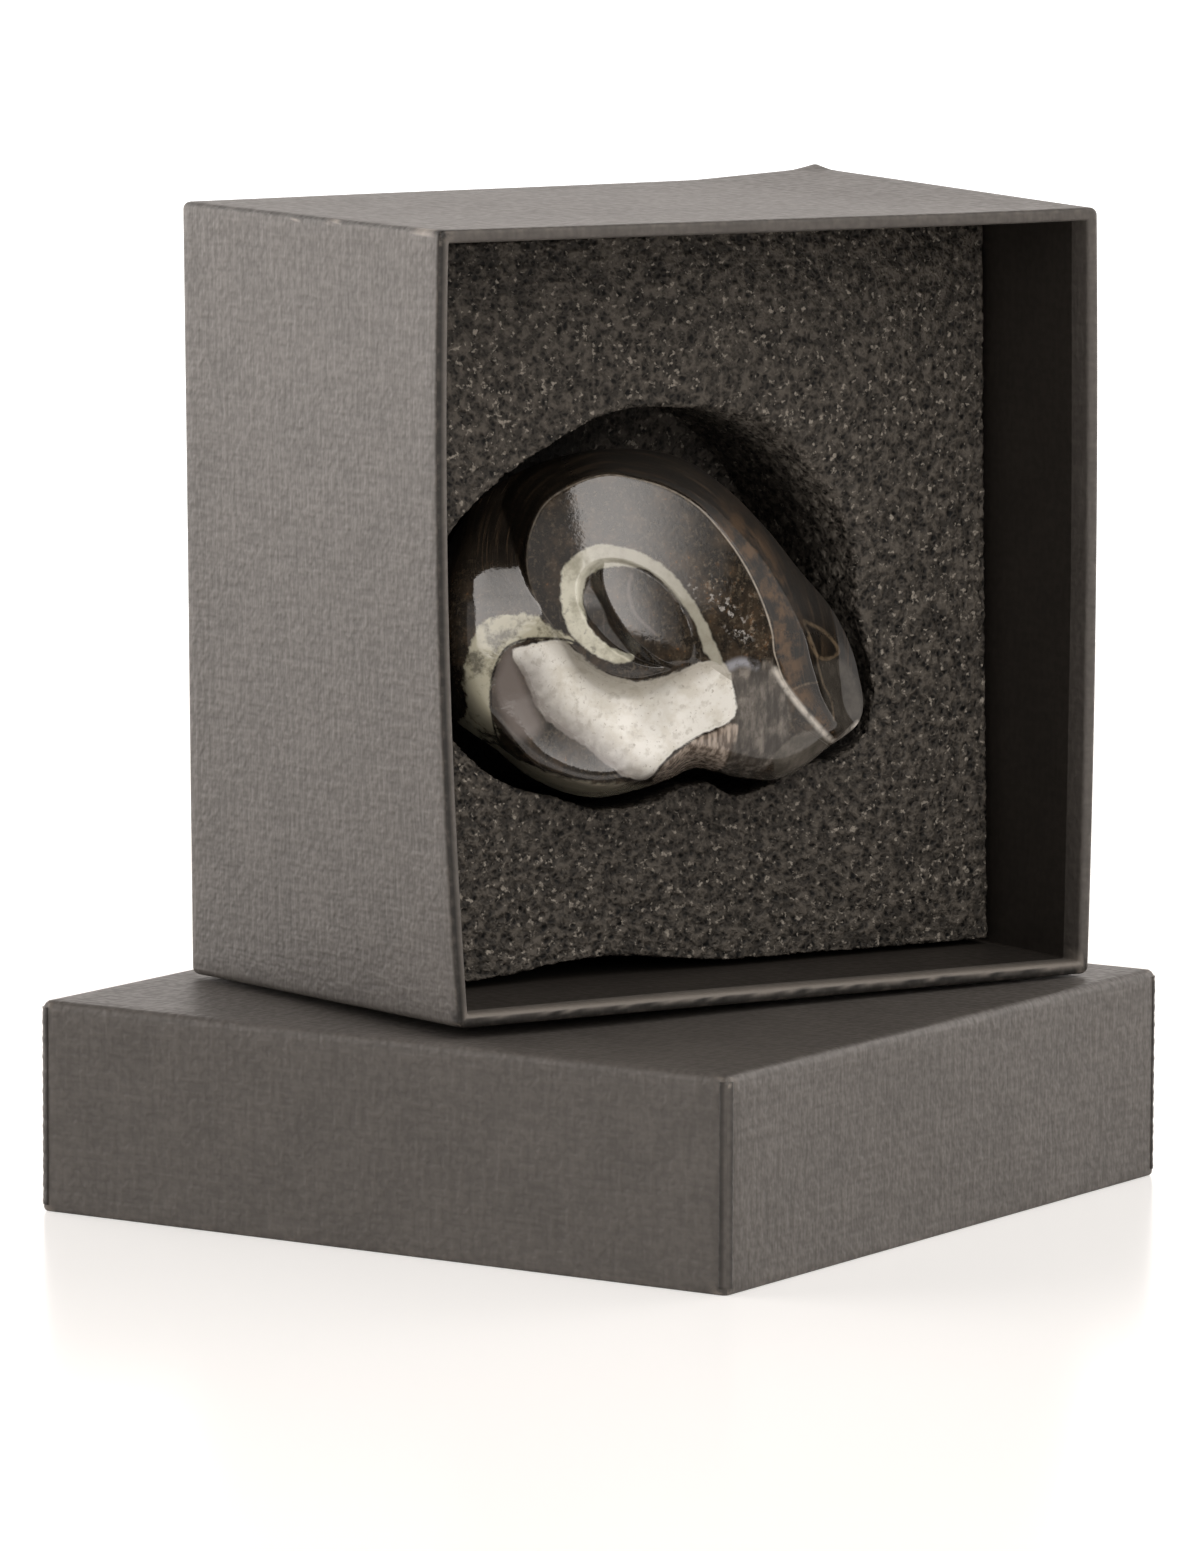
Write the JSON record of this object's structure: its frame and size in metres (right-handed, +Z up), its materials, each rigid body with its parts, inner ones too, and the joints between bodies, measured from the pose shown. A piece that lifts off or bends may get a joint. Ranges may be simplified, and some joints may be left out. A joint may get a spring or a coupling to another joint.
{
  "type": "polished goniatite fossil in a foam-lined card box",
  "caption": "Polished goniatite lying in the arched hole of a foam block, in a square card box tray that stands on its side on its lid.",
  "frame": {"origin": "on the surface the box stands on, under the middle of the lid, which is the middle of the whole object's footprint", "axes": "+Z up; X along the tray's opening, which faces -Y"},
  "size_m": [0.1214, 0.1214, 0.1145],
  "materials": {
    "stone": "polished dark brown stone with cream calcite bands",
    "foam": "open-cell charcoal foam",
    "paper": "dark warm grey linen-embossed paper over board"
  },
  "bodies": {
    "root": {"goniatite": "stone", "foam_insert": "foam", "box_tray": "paper", "box_lid": "paper"}
  },
  "joints": []
}
